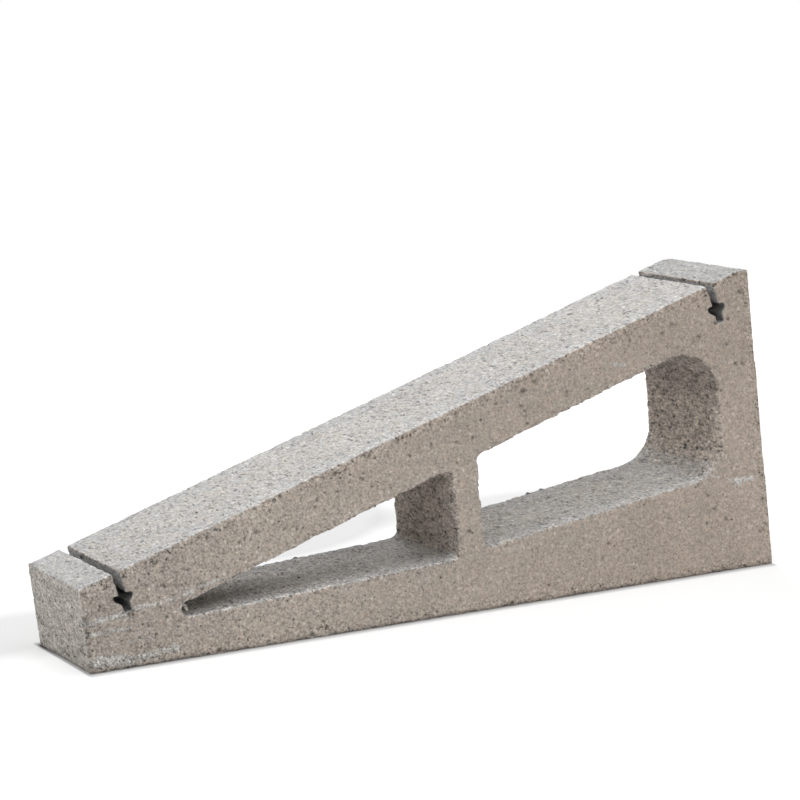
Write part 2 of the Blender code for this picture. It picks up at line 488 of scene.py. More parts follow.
def rounded_outline(corners):
    """An anticlockwise outline with rounded corners."""
    outline = []
    for index, (corner, radius) in enumerate(corners):
        arriving = (corner - corners[index - 1][0]).normalized()
        leaving = (corners[(index + 1) % len(corners)][0] - corner).normalized()
        turn = arriving.angle(leaving)
        centre = corner + (leaving - arriving).normalized() * radius / math.cos(turn / 2)
        first_angle = math.atan2(-arriving.x, arriving.y)
        steps = math.ceil(math.degrees(turn) / ARC_STEP)
        for step in range(steps + 1):
            angle = first_angle + turn * step / steps
            outline.append(centre + radius * Vector((math.cos(angle), math.sin(angle))))
    return outline


def slot_outline(mouth_x):
    """A clamp slot from above its mouth down the front side and back up the rear side."""
    shoulder_depth = NECK_DEPTH + BAR_HEIGHT + SHOULDER_DROP
    front_side = [
        (NECK_WIDTH / 2, -MOUTH_OVERRUN),
        (NECK_WIDTH / 2, NECK_DEPTH),
        (BAR_WIDTH / 2, NECK_DEPTH),
        (BAR_WIDTH / 2, NECK_DEPTH + BAR_HEIGHT),
        (POCKET_WIDTH / 2, shoulder_depth),
        (POCKET_WIDTH / 2, shoulder_depth + POCKET_HEIGHT),
    ]
    across = Vector((math.cos(math.radians(SLOT_LEAN)), math.sin(math.radians(SLOT_LEAN))))
    down = Vector((math.sin(math.radians(SLOT_LEAN)), -math.cos(math.radians(SLOT_LEAN))))
    mouth = Vector((mouth_x, seat_height(mouth_x)))
    outline = [mouth - across * half_width + down * depth for half_width, depth in front_side]
    outline += [mouth + across * half_width + down * depth for half_width, depth in reversed(front_side)]
    return outline


def run_distance(x, z, start, end):
    """Distance of each point to the straight run between two places."""
    run = end - start
    along = np.clip(((x - start.x) * run.x + (z - start.y) * run.y) / run.length_squared, 0, 1)
    return np.hypot(x - start.x - along * run.x, z - start.y - along * run.y)


def outline_distance(x, z, outline):
    """Distance of each point to a closed outline, negative inside it."""
    nearest = np.full(x.shape, np.inf)
    inside = np.zeros(x.shape, bool)
    for start, end in zip(outline, outline[1:] + outline[:1]):
        nearest = np.minimum(nearest, run_distance(x, z, start, end))
        run = end - start
        if run.y:
            crossed = (start.y > z) != (end.y > z)
            inside ^= crossed & (x < start.x + (z - start.y) * run.x / run.y)
    return np.where(inside, -nearest, nearest)


def plane_distances(x, z):
    """Distance outside each flat side of the wedge, from its underside round to its low end."""
    outline = block_outline()
    distances = []
    for start, end in zip(outline, outline[1:] + outline[:1]):
        run = (end - start).normalized()
        distances.append((x - start.x) * run.y - (z - start.y) * run.x)
    return distances


def rounded_most(a, b, radius):
    """The larger of two distances, with the edge where they meet rounded."""
    corner = np.hypot(np.maximum(a + radius, 0), np.maximum(b + radius, 0)) - radius
    return np.where((a > -radius) & (b > -radius), corner, np.maximum(a, b))


def lumps(points, size, seed):
    """Smooth random values between 0 and 1 that change over the given size."""
    table_side = 64
    table = np.random.default_rng(seed).random((table_side,) * 3).astype(np.float32)
    scaled = points / size + table_side
    cell = np.floor(scaled).astype(np.int64)
    part = (scaled - cell).astype(np.float32)
    part = part * part * (3 - 2 * part)
    value = np.zeros(len(points), np.float32)
    for corner in np.ndindex(2, 2, 2):
        share = np.prod(np.where(corner, part, 1 - part), axis=1)
        place = (cell + corner) % table_side
        value += share * table[place[:, 0], place[:, 1], place[:, 2]]
    return value


def side_distance(y):
    """Distance outside the nearer of the block's two sides."""
    return np.abs(y) - BLOCK_WIDTH / 2


def profile_distances(x, z):
    """Distances to the outlines of the small opening, the large opening and the nearer slot."""
    outlines = [small_opening_outline(), large_opening_outline(),
                slot_outline(FRONT_SLOT_INSET), slot_outline(BASE_LENGTH - REAR_SLOT_INSET)]
    small, large, front_slot, rear_slot = (outline_distance(x, z, outline) for outline in outlines)
    return small, large, np.minimum(front_slot, rear_slot)


def opening_growth(y):
    """How far the openings have widened at a place across the width."""
    return OPENING_DRAFT * (y + BLOCK_WIDTH / 2) / BLOCK_WIDTH


def surface_parts(x, y, z, small, large, slots):
    """Distances outside each surface of the block, before any wear."""
    growth = opening_growth(y)
    return plane_distances(x, z), side_distance(y), growth - small, growth - large, -slots


def held(values):
    """Values held between 0 and 1."""
    return np.clip(values, 0, 1)


def build_field():
    """The block's distance field on a grid, with its grain and its worn edges."""
    low = np.array([-NOSE_OVERHANG, -BLOCK_WIDTH / 2, 0]) - MARGIN
    high = np.array([BASE_LENGTH, BLOCK_WIDTH / 2, seat_height(BASE_LENGTH)]) + MARGIN
    counts = np.ceil((high - low) / CELL).astype(int) + 1
    xs, ys, zs = (low[axis] + CELL * np.arange(counts[axis]) for axis in range(3))
    grid_x, grid_z = np.meshgrid(xs, zs, indexing="ij")
    small, large, slots = profile_distances(grid_x, grid_z)
    wedge = np.max(plane_distances(grid_x, grid_z), axis=0)
    field = np.maximum(wedge, -slots)[:, None, :].repeat(len(ys), axis=1)
    field = np.maximum(field, opening_growth(ys)[None, :, None] - np.minimum(small, large)[:, None, :])
    field = np.maximum(field, side_distance(ys)[None, :, None]).astype(np.float32)
    near = np.nonzero(np.abs(field) < DETAIL_DEPTH)
    flat = (near[0], near[2])
    points = np.column_stack([xs[near[0]], ys[near[1]], zs[near[2]]])
    field[near] = worn_distance(points, small[flat], large[flat], slots[flat])
    on_surface = np.abs(field[near]) < CELL / 2
    cells = np.column_stack(near)[on_surface]
    outward = outward_direction(field, cells)
    open_pits(field, low, points[on_surface], outward, np.random.default_rng(PIT_SEED))
    break_edges(field, low)
    return field, low


def outward_direction(field, cells):
    """The direction out of the block at each of the given cells."""
    steps = np.eye(3, dtype=int)
    rises = [field[tuple((cells + step).T)] - field[tuple((cells - step).T)] for step in steps]
    slope = np.column_stack(rises)
    return slope / np.maximum(np.linalg.norm(slope, axis=1), CELL / 10)[:, None]


def arris_radius(points, wear):
    """Radius of the arris between a side and the rim of the wedge."""
    x, y, z = points.T
    radius = np.where(y < 0, NEAR_TOP_ARRIS, FAR_TOP_ARRIS)
    at_end = (x < FOOT_BAND) & (z < seat_height(0) - FOOT_BAND) | (x > BASE_LENGTH - FOOT_BAND)
    radius = np.where(at_end, END_ARRIS, radius)
    return np.where(z < FOOT_BAND, FOOT_ARRIS, radius) * wear


def grain_depth(seat, cap, underside, ends, side, opening):
    """How deep the grain goes on the kind of face that is nearest."""
    top = np.maximum(seat, cap)
    outside = np.maximum.reduce([top, underside, ends, side])
    depth = np.where(top >= outside, SEAT_GRAIN, SIDE_GRAIN)
    depth = np.where(ends >= outside, END_GRAIN, depth)
    depth = np.where(underside >= outside, 0, depth)
    return np.where(opening > outside, INNER_GRAIN, depth)


def openness(x, depth):
    """How open the grain is at a place along the block and a depth below its rim."""
    at_low_end = OPEN_LOW_END_SHARE * held(1 - x / OPEN_LOW_END_REACH)
    at_rim = OPEN_RIM_SHARE * held(1 - depth / OPEN_RIM_REACH)
    return held(OPEN_LEAST + at_low_end + at_rim)


def worn_distance(points, small, large, slots):
    """Distance to the block's worn surface for points close to it."""
    x, y, z = points.T
    planes, side, small, large, slots = surface_parts(x, y, z, small, large, slots)
    underside, rear, cap, seat, front = planes
    seat = seat - SEAT_GRAIN / 2
    rear = rear - END_STANDOUT
    front = front - END_STANDOUT
    opening = np.maximum(small, large) - INNER_STANDOUT
    crisp = (x < CRISP_BAND) | (x > BASE_LENGTH - CRISP_BAND)
    wear = np.clip(WEAR_BASE + WEAR_SWING * lumps(points, WEAR_SIZE, WEAR_SEED), *WEAR_LIMITS)
    wear = np.where(crisp, CRISP_WEAR, wear)
    body = underside
    for plane in (rear, front, cap, seat):
        body = rounded_most(body, plane, END_ARRIS * wear)
    body = rounded_most(body, side, arris_radius(points, wear))
    body = rounded_most(body, opening, OPENING_ARRIS * wear)
    body = rounded_most(body, slots, SLOT_ARRIS * wear)
    surfaces = np.sort(np.array([underside, rear, cap, seat, front, side, opening]), axis=0)
    to_arris = -surfaces[-2]
    grain = grain_lumps(points) * grain_depth(seat, cap, underside, np.maximum(front, rear), side, opening)
    share = np.where(z > FOOT_BAND, np.where(y > 0, FAR_NIBBLE_SHARE, TOP_NIBBLE_SHARE), 1)
    share = np.where((x > REAR_NIBBLE_START) | crisp, REAR_NIBBLE_SHARE, share)
    share = np.where(opening > -NIBBLE_REACH, OPENING_NIBBLE_SHARE, share)
    return body + grain + nibbles(points, to_arris) * NIBBLE_DEPTH * share


def grain_lumps(points):
    """The coarse grain, between 0 and 1, drawn out across the width."""
    dragged = points / np.array([1, DRAG, 1])
    grain = sum(share * lumps(dragged, size, GRAIN_SEED + index)
                for index, (size, share) in enumerate(zip(LUMP_SIZES, LUMP_SHARES)))
    return held(LUMP_CONTRAST * grain - LUMP_OFFSET)


def nibbles(points, to_arris):
    """What is nibbled out of the edges, between 0 and 1, by the distance to the nearest arris."""
    nibble = sum(lumps(points, size, NIBBLE_SEED + index) for index, size in enumerate(NIBBLE_SIZES))
    nibble = nibble / len(NIBBLE_SIZES)
    return held((nibble - NIBBLE_START) / NIBBLE_SPAN) * held(1 - to_arris / NIBBLE_REACH)


def reach_round(field, low, middles, radii, stretch=(1, 1, 1)):
    """Distance to each ball for the grid points round it, with the points' places in the grid."""
    span = int(np.ceil(radii.max() * max(stretch) / CELL)) + 1
    steps = np.stack(np.meshgrid(*[np.arange(-span, span + 1)] * 3, indexing="ij"), -1).reshape(-1, 3)
    centre = np.round((middles - low) / CELL).astype(int)
    cells = centre[:, None, :] + steps[None, :, :]
    cells = np.clip(cells, 0, np.array(field.shape) - 1)
    away = (low + cells * CELL - middles[:, None, :]) / np.array(stretch)
    distance = np.linalg.norm(away, axis=2) - radii[:, None]
    return distance.ravel().astype(np.float32), tuple(cells.reshape(-1, 3).T)


def open_pits(field, low, surface, outward, rng):
    """Carves small holes, most where the grain is open and none on the rear edges."""
    x, _, z = surface.T
    rim_depth = -np.max(plane_distances(x, z), axis=0)
    share = openness(x, rim_depth) ** 2 * (z > CELL)
    chosen = rng.choice(len(surface), PIT_COUNT, replace=False, p=share / share.sum())
    radii = PIT_RADII[0] + (PIT_RADII[1] - PIT_RADII[0]) * rng.random(PIT_COUNT) ** 2
    at_rear = x[chosen] > BASE_LENGTH - REAR_EDGE_BAND
    at_rear_edge = at_rear & (side_distance(surface[chosen, 1]) > -REAR_EDGE_BAND)
    chosen, radii = chosen[~at_rear_edge], radii[~at_rear_edge]
    middles = surface[chosen] + outward[chosen] * (radii * PIT_STANDOFF_SHARE)[:, None]
    distance, cells = reach_round(field, low, middles, radii, PIT_STRETCH)
    np.maximum.at(field, cells, -distance)


def break_edges(field, low):
    """Breaks out the chips, opens the near face's pits and sets the crumbs."""
    chips = [((x, NEAR_CHIP_MIDDLE, z), radius) for x, z, radius in NEAR_CHIPS]
    pits = [((x, SIDE_PIT_MIDDLE, z), radius) for x, z, radius in SIDE_PITS]
    for balls, sign, keep in ((CHIPS + chips + pits, -1, np.maximum), (CRUMBS, 1, np.minimum)):
        for middle, radius in balls:
            distance, cells = reach_round(field, low, np.array([middle]), np.array([radius]))
            keep.at(field, cells, sign * distance)


def surface_net(field, low):
    """The field's zero level: one vertex in each mixed cell, and one quad over each crossed edge."""
    solid = field < 0
    count = np.zeros([side - 1 for side in field.shape], np.int8)
    for corner in np.ndindex(2, 2, 2):
        count += solid[tuple(slice(c, side - 1 + c) for c, side in zip(corner, field.shape))]
    cells = np.nonzero((count > 0) & (count < 8))
    number = np.full(count.shape, -1, np.int32)
    number[cells] = np.arange(len(cells[0]))
    places = np.zeros((len(cells[0]), 3), np.float64)
    crossings = np.zeros(len(cells[0]))
    for axis in range(3):
        others = [other for other in range(3) if other != axis]
        for corner in np.ndindex(2, 2):
            offset = [0, 0, 0]
            offset[others[0]], offset[others[1]] = corner
            start = field[tuple(cell + move for cell, move in zip(cells, offset))]
            offset[axis] = 1
            end = field[tuple(cell + move for cell, move in zip(cells, offset))]
            crossed = (start < 0) != (end < 0)
            along = np.where(crossed, start / np.where(crossed, start - end, 1), 0)
            places[:, axis] += along
            places[:, others[0]] += crossed * corner[0]
            places[:, others[1]] += crossed * corner[1]
            crossings += crossed
    places = low + CELL * (np.column_stack(cells) + places / crossings[:, None])
    quads = []
    for axis in range(3):
        one, two = (axis + 1) % 3, (axis + 2) % 3
        first = np.take(solid, range(field.shape[axis] - 1), axis)
        second = np.take(solid, range(1, field.shape[axis]), axis)
        edges = np.nonzero(first != second)
        leaving = first[edges]
        ring = []
        for back_one, back_two in ((1, 1), (0, 1), (0, 0), (1, 0)):
            around = list(edges)
            around[one] = around[one] - back_one
            around[two] = around[two] - back_two
            ring.append(number[tuple(around)])
        ring = np.column_stack(ring)
        quads.append(np.where(leaving[:, None], ring, ring[:, ::-1]))
    return places, np.concatenate(quads)


def mesh_from(name, places, quads):
    """A mesh of quads."""
    mesh = bpy.data.meshes.new(name)
    mesh.vertices.add(len(places))
    mesh.vertices.foreach_set("co", places.astype(np.float32).ravel())
    mesh.loops.add(quads.size)
    mesh.loops.foreach_set("vertex_index", quads.astype(np.int32).ravel())
    mesh.polygons.add(len(quads))
    mesh.polygons.foreach_set("loop_start", np.arange(0, quads.size, 4, dtype=np.int32))
    mesh.update(calc_edges=True)
    mesh.validate()
    return mesh


def link(item):
    """Puts an object in the scene."""
    bpy.context.scene.collection.objects.link(item)
    return item


def lime_bloom(x, y, z):
    """How strongly lime has bloomed on the near face."""
    lime = np.zeros(len(x))
    for start, end, half_width, strength in LIME_STREAKS:
        away = run_distance(x, z, Vector(start), Vector(end))
        lime = np.maximum(lime, strength * held(LIME_FADE_SHARE - away / half_width))
    return lime * (y < NEAR_FACE + LIME_DEPTH)


def slot_shade(x, y, z, slots):
    """Painted shade on the slots' walls: a little in the neck, and fully from the cross-bar down."""
    depth = seat_height(x) - z
    inside = -side_distance(y)
    mark = held(1 - (slots - SLOT_REACH) / SLOT_FADE)
    mark = mark * held((depth - SLOT_RIM) / SLOT_FADE) * held((inside - SLOT_RIM) / SLOT_FADE)
    deep = held((depth - DEEP_SLOT_START) / DEEP_SLOT_SPAN) * held((inside - DEEP_SLOT_RIM) / DEEP_SLOT_FADE)
    shallow = SHALLOW_SLOT_SHARE * np.clip(depth / SHALLOW_SLOT_DEPTH, SHALLOW_SLOT_LEAST, 1)
    return mark * (shallow + (1 - SHALLOW_SLOT_SHARE) * deep)


def painted_hole_shade(x, y, z, sunk):
    """Painted shade in the holes, and on the named pits, spots and far crumbs."""
    hollow = held((sunk - HOLLOW_START) / HOLLOW_SPAN)
    half = CELL / 2
    spots = [((at_x, SIDE_PIT_MIDDLE, at_z), radius + half, half, 1) for at_x, at_z, radius in SIDE_PITS]
    spots += [((at_x, at_y, seat_height(at_x)), radius, CELL, 1) for at_x, at_y, radius in SEAT_SPOTS]
    spots += [(middle, radius + CELL, CELL, CRUMB_HOLLOW_SHARE) for middle, radius in CRUMBS if middle[1] > 0]
    for (at_x, at_y, at_z), reach, fade, most in spots:
        away = np.sqrt((x - at_x) ** 2 + (y - at_y) ** 2 + (z - at_z) ** 2)
        hollow = np.maximum(hollow, np.clip((reach - away) / fade, 0, most))
    return hollow


def painted_patch_shade(x, z):
    """How much painted shade the walls of the openings get in their patches."""
    patch_shade = np.zeros(len(x))
    for (middle_x, middle_z), (half_length, half_height), darker in PAINTED_SHADE_PATCHES:
        away = np.hypot((x - middle_x) / half_length, (z - middle_z) / half_height)
        patch_shade = np.maximum(patch_shade, darker * held(SHADE_PATCH_FADE_SHARE - away))
    return patch_shade


def store_marks(mesh):
    """Stores on the mesh what the material needs to know of each point."""
    places = np.zeros(len(mesh.vertices) * 3, np.float32)
    mesh.vertices.foreach_get("co", places)
    x, y, z = places.reshape(-1, 3).astype(float).T
    x = x - FOOT_X
    small, large, slots = profile_distances(x, z)
    planes, side, small, large, slot = surface_parts(x, y, z, small, large, slots)
    wedge = np.max(planes, axis=0)
    opening = np.maximum(small, large)
    inner = held(1 + (opening - np.maximum(wedge, side)) / WALL_FADE)
    sunk = -np.maximum.reduce([wedge, side, opening, slot])
    marks = {
        "inner": inner,
        "open": openness(x, -wedge),
        "lime": lime_bloom(x, y, z),
        "slot": slot_shade(x, y, z, slots),
        "hollow": painted_hole_shade(x, y, z, sunk),
        "patch_shade": inner * painted_patch_shade(x, z),
    }
    for name, values in marks.items():
        stored = mesh.attributes.new(name, "FLOAT", "POINT")
        stored.data.foreach_set("value", values.astype(np.float32))


def keep_inside(mesh, lowest, highest):
    """Holds every vertex inside the CAD's box."""
    places = np.zeros(len(mesh.vertices) * 3, np.float32)
    mesh.vertices.foreach_get("co", places)
    places = np.clip(places.reshape(-1, 3), lowest, highest)
    mesh.vertices.foreach_set("co", places.astype(np.float32).ravel())


def block_surface():
    """The visible block: the distance field's surface, thinned out to the triangle budget."""
    field, low = build_field()
    places, quads = surface_net(field, low)
    places[:, 0] += FOOT_X
    lowest, highest = (np.array(corner) for corner in CAD_BOUNDS)
    dense = link(bpy.data.objects.new("dense_block", mesh_from("dense_block", places, quads)))
    thin = dense.modifiers.new("thin", "DECIMATE")
    thin.ratio = min(1, TRIANGLE_BUDGET / (2 * len(quads)))
    bpy.context.view_layer.update()
    thinned = dense.evaluated_get(bpy.context.evaluated_depsgraph_get())
    mesh = bpy.data.meshes.new_from_object(thinned)
    bpy.data.objects.remove(dense)
    mesh.name = "block_surface"
    keep_inside(mesh, lowest, highest)
    mesh.shade_smooth()
    store_marks(mesh)
    block = link(bpy.data.objects.new("block_surface", mesh))
    print("block_surface:", len(quads), "quads,", len(mesh.polygons), "faces")
    return block


class Nodes:
    """The node tree of a material or a world, with a short call for each kind of node."""

    def __init__(self, owner, shader):
        owner.use_nodes = True
        self.tree = owner.node_tree
        self.shader = self.tree.nodes[shader]

    def add(self, kind, sockets=None, **settings):
        """A node with its settings, and a value or a link for each socket."""
        made = self.tree.nodes.new("ShaderNode" + kind)
        for name, value in settings.items():
            setattr(made, name, value)
        for name, value in (sockets or {}).items():
            if isinstance(value, bpy.types.NodeSocket):
                self.tree.links.new(value, made.inputs[name])
            else:
                made.inputs[name].default_value = value
        return made

    def show_camera(self, seen, output):
        """Shows one shader to the camera, and the tree's own shader to everything else."""
        is_camera = self.add("LightPath").outputs["Is Camera Ray"]
        both = self.add("MixShader", {0: is_camera, 1: self.shader.outputs[0], 2: seen}).outputs[0]
        self.tree.links.new(both, self.tree.nodes[output].inputs["Surface"])

    def coordinates(self, kind):
        """The place or the normal of a point."""
        return self.add("TexCoord").outputs[kind]

    def channels(self, colour):
        """The three parts of a colour."""
        return self.add("SeparateColor", {"Color": colour}).outputs[:3]

    def parts(self, vector):
        """The three parts of a vector."""
        return self.add("SeparateXYZ", {0: vector}).outputs[:3]

    def length(self, vector):
        """The length of a vector."""
        return self.add("VectorMath", {0: vector}, operation="LENGTH").outputs["Value"]

    def math(self, operation, a, b=0.0, clamp=False):
        """The result of an operation on two values."""
        return self.add("Math", {0: a, 1: b}, operation=operation, use_clamp=clamp).outputs[0]

    def product(self, first, *others):
        """Values multiplied together."""
        for other in others:
            first = self.math("MULTIPLY", first, other)
        return first

    def spread(self, value, low, high, low_out=0.0, high_out=1.0):
        """A value moved from one range to another, with its ends held."""
        sockets = {"Value": value, "From Min": low, "From Max": high, "To Min": low_out, "To Max": high_out}
        return self.add("MapRange", sockets, clamp=True).outputs["Result"]

    def total(self, first, *others):
        """Values added up."""
        for other in others:
            first = self.math("ADD", first, other)
        return first

    def less(self, a, b):
        """One share less another, held between 0 and 1."""
        return self.math("SUBTRACT", a, b, clamp=True)

    def swing(self, value, bounds, reach):
        """A value moved from a range to one that reaches as far below zero as above it."""
        return self.spread(value, *bounds, -reach, reach)

    def between(self, share, low_out, high_out):
        """One value where the share is zero and another where it is one."""
        return self.spread(share, 0.0, 1.0, low_out, high_out)

    def where(self, share, tone, factor):
        """A tone multiplied by the factor where the share is one."""
        return self.product(tone, self.between(share, 1.0, factor))

    def mix(self, share, a, b):
        """Two colours mixed."""
        return self.add("Mix", {0: share, 6: a, 7: b}, data_type="RGBA").outputs[2]

    def times(self, colour, value):
        """A colour made lighter or darker."""
        return self.add("VectorMath", {0: colour, 3: value}, operation="SCALE").outputs[0]

    def stored(self, name):
        """A value that is stored on the mesh."""
        return self.add("Attribute", attribute_name=name).outputs["Fac"]


class Concrete(Nodes):
    """Dry-cast concrete: sand and stones in grey cement, with pits, blotches and lime.

    Its patterns are drawn out across the width, the way the mould was pulled off.
    """

    def __init__(self, material):
        super().__init__(material, "Principled BSDF")
        place = self.coordinates("Object")
        self.along, self.across, self.up = self.parts(place)
        self.place = self.add("VectorMath", {0: place, 1: (1, 1 / DRAG, 1)}, operation="MULTIPLY").outputs[0]
        self.find_faces()
        self.lay_grains()
        tone = self.edge_tone(self.face_tone(self.grain_tone()))
        self.tree.links.new(self.times(self.base_colour(), tone), self.shader.inputs["Base Color"])
        self.tree.links.new(self.fine_relief(), self.shader.inputs["Normal"])
        self.shader.inputs["Roughness"].default_value = ROUGHNESS
        self.shader.inputs["Specular IOR Level"].default_value = SPECULAR

    def noise(self, size, detail):
        """Cloudy values round a half that change over the given size."""
        sockets = {"Vector": self.place, "Scale": 1 / size, "Detail": detail, "Roughness": NOISE_ROUGHNESS}
        return self.add("TexNoise", sockets).outputs["Fac"]

    def cells(self, size):
        """Distance from the middle of the nearest ragged grain, and the grain's random colour."""
        sockets = {"Vector": self.place, "Scale": 2 / size, "Detail": WANDER_DETAIL}
        wander = self.add("TexNoise", sockets).outputs["Color"]
        wander = self.times(wander, size * CELL_WANDER)
        place = self.add("VectorMath", {0: self.place, 1: wander}, operation="ADD").outputs[0]
        made = self.add("TexVoronoi", {"Vector": place, "Scale": 1 / size})
        return made.outputs["Distance"], made.outputs["Color"]

    def find_faces(self):
        """Which kind of face a point is on."""
        normal_x, _, normal_z = self.parts(self.coordinates("Normal"))
        self.level = self.spread(normal_z, *LEVEL_NORMALS)
        self.inner = self.stored("inner")
        self.opened = self.stored("open")
        at_low_end = self.math("LESS_THAN", self.along, FOOT_X + FOOT_BAND)
        self.on_low_end = self.product(self.spread(normal_x, *LOW_END_NORMALS), at_low_end)
        self.on_low_cap = self.spread(self.along, LOW_CAP_END + CAP_FADE, LOW_CAP_END - CAP_FADE)
        self.on_rear_cap = self.spread(self.along, CAP_START - CAP_FADE, CAP_START + CAP_FADE)

    def lay_grains(self):
        """The sand, the silt and the clumps, the blotches, the stones and the pits."""
        self.sand = self.noise(*SAND)
        self.silt = self.noise(*SILT)
        self.clumps = self.noise(*CLUMPS)
        self.blotch = self.noise(*BLOTCHES)
        self.stone_distance, stone_colour = self.cells(STONE_SIZE)
        red, green, self.stone_chance = self.channels(stone_colour)
        middle = self.spread(self.stone_distance, *STONE_EDGE)
        self.bright_stone = self.product(self.spread(red, *BRIGHT_STONE_CHOICE), middle)
        self.dark_stone = self.product(self.spread(green, *DARK_STONE_CHOICE), middle)
        pit_distance, pit_colour = self.cells(PIT_SIZE)
        ragged = self.total(pit_distance, self.swing(self.sand, NOISE_RANGE, PIT_RAGGEDNESS))
        reach = self.spread(self.channels(pit_colour)[0], *PIT_CHOICE, 0.0, PIT_REACH)
        reach = self.product(reach, self.between(self.opened, CLOSED_PIT_SHARE, 1.0))
        self.pit = self.spread(self.math("SUBTRACT", reach, ragged), 0.0, PIT_EDGE)
        speck = self.total(self.noise(*LIME_SPECKS), self.product(self.bright_stone, LIME_STONE_SHARE))
        self.lime = self.spread(self.product(self.stored("lime"), speck), *LIME_EDGE)

    def near_band(self, gone, full):
        """One up to a distance from the near face, and zero from a longer one."""
        return self.spread(self.across, NEAR_FACE + gone, NEAR_FACE + full)

    def grain_tone(self):
        """How light each grain is."""
        contrast = self.total(
            self.spread(self.opened, OPEN_LEAST, 1.0, *OPEN_CONTRASTS),
            self.product(self.level, LEVEL_CONTRAST),
            self.product(self.inner, self.between(self.level, *INNER_CONTRASTS)))
        silt_share = self.between(self.level, *SILT_SHARES)
        tone = self.total(
            self.swing(self.sand, SAND_RANGE, SAND_TONE),
            self.product(self.swing(self.silt, NOISE_RANGE, SILT_TONE), silt_share),
            self.product(self.swing(self.clumps, NOISE_RANGE, CLUMP_TONE), self.less(self.inner, self.level)),
            self.product(self.bright_stone, BRIGHT_STONE_TONE),
            self.product(self.dark_stone, DARK_STONE_TONE))
        blotched = self.spread(self.blotch, *NOISE_RANGE, *BLOTCH_TONES)
        return self.math("MAXIMUM", self.total(self.product(tone, contrast), blotched), LEAST_TONE)

    def face_tone(self, tone):
        """The tone with its changes from face to face, with painted shade in the holes, pits and patches and
        painted light on the near part of the small opening's floor.
        """
        outer_top = self.less(self.level, self.inner)
        # painted shade in holes, chips and the named pits, spots and far crumbs
        tone = self.where(self.stored("hollow"), tone, self.between(outer_top, *HOLE_SHADE_TONES))
        # painted shade in the painted pits
        tone = self.where(self.pit, tone, self.between(self.level, *PIT_SHADE_TONES))
        # painted shade in patches inside the openings
        tone = self.where(self.stored("patch_shade"), tone, 0.0)
        tone = self.where(self.inner, tone, self.between(self.level, *INNER_TONES))
        # painted light on the near part of the small opening's floor
        before_web = self.math("LESS_THAN", self.along, FOOT_X + WEB_DISTANCE)
        sill = self.product(self.inner, self.level, self.near_band(*SILL_BAND), before_web)
        tone = self.where(sill, tone, SILL_LIGHT_TONE)
        at_low_end = self.spread(self.along, FOOT_X + LOW_END_REACH, FOOT_X)
        tone = self.where(at_low_end, tone, self.between(self.level, *LOW_END_TONES))
        return self.where(self.less(self.spread(self.up, *RAISED_BAND), self.level), tone, RAISED_TONE)

    def edge_tone(self, tone):
        """The tone with its changes at the edges, with painted shade at the foot and a painted highlight along
        the near top edge, on the tall end's cap and with painted shade in the slots.
        """
        # painted shade along the foot, where the block meets the floor
        tone = self.where(self.spread(self.up, *GROUND_BAND), tone, GROUND_SHADE_TONE)
        # darker specks along the foot
        foot_specks = self.product(self.spread(self.up, *FOOT_SPECK_BAND), self.spread(self.silt, *FOOT_SPECK_CHOICE))
        tone = self.where(foot_specks, tone, FOOT_SPECK_TONE)
        corner = self.product(
            self.spread(self.along, *(FOOT_X + distance for distance in CORNER_END_BAND)),
            self.near_band(*CORNER_SIDE_BAND),
            self.spread(self.up, *CORNER_HEIGHTS),
            self.spread(self.clumps, *CORNER_CHOICE))
        tone = self.where(corner, tone, CORNER_TONE)
        # painted highlight along the near top edge and the near edges of the openings' floors, with painted
        # glints behind it
        rim = self.product(self.near_band(*HIGHLIGHT_BAND), self.between(self.inner, 1.0, INNER_HIGHLIGHT_SHARE), HIGHLIGHT_TONE)
        bright = self.spread(self.sand, *SPARKLE_CHOICE)
        sparkle = self.product(self.near_band(*SPARKLE_BAND), bright, SPARKLE_TONE)
        tone = self.total(tone, self.product(self.level, self.total(rim, sparkle)))
        tone = self.where(self.product(self.level, self.on_rear_cap), tone, REAR_CAP_TONE)
        # painted shade in the clamp slots
        return self.where(self.stored("slot"), tone, SLOT_SHADE_TONE)

    def side_colour(self):
        """Warm grey, cooler on the low end and in the openings."""
        warmth = self.total(
            self.product(self.stone_chance, STONE_WARMTH),
            self.product(self.blotch, BLOTCH_WARMTH),
            self.spread(self.along, FOOT_X, -FOOT_X, *END_WARMTHS))
        side = self.mix(self.spread(warmth, *SIDE_WARMTH_RANGE), SIDE_GREY, SIDE_WARM)
        side = self.mix(self.on_low_end, side, END_GREY)
        return self.mix(self.product(self.inner, INNER_GREY_SHARE), side, INNER_GREY)

    def top_colour(self):
        """Pale grey with warm clumps, fewer along both edges and on the caps."""
        warmth = self.spread(self.product(self.stone_chance, self.clumps), *SEAT_WARMTH_RANGE)
        warmth = self.total(warmth, self.spread(self.across, *SEAT_NEAR_BAND, *SEAT_NEAR_WARMTHS))
        warmth = self.less(warmth, self.spread(self.across, *SEAT_FAR_BAND, 0.0, SEAT_FAR_LOSS))
        on_caps = self.math("MAXIMUM", self.on_rear_cap, self.on_low_cap)
        return self.mix(self.less(warmth, self.product(on_caps, CAP_WARMTH_LOSS)), TOP_GREY, TOP_WARM)

    def base_colour(self):
        """The colours of all faces, with the slots, the bright stones and the lime."""
        base = self.mix(self.level, self.side_colour(), self.top_colour())
        base = self.mix(self.spread(self.stored("slot"), *SLOT_COLOUR_RANGE), base, SLOT_GREY)
        base = self.mix(self.product(self.bright_stone, BRIGHT_STONE_SHARE), base, LIME_COLOUR)
        return self.mix(self.lime, base, LIME_COLOUR)

    def fine_relief(self):
        """The direction of the surface with relief that is too fine for the mesh."""
        height = self.total(
            self.sand,
            self.product(self.stone_distance, STONE_RELIEF),
            self.product(self.pit, PIT_RELIEF),
            self.product(self.lime, LIME_RELIEF))
        sockets = {"Strength": 1.0, "Distance": BUMP_DEPTH, "Height": height}
        return self.add("Bump", sockets).outputs["Normal"]


def concrete():
    """The block's material."""
    material = bpy.data.materials.new("concrete")
    Concrete(material)
    return material


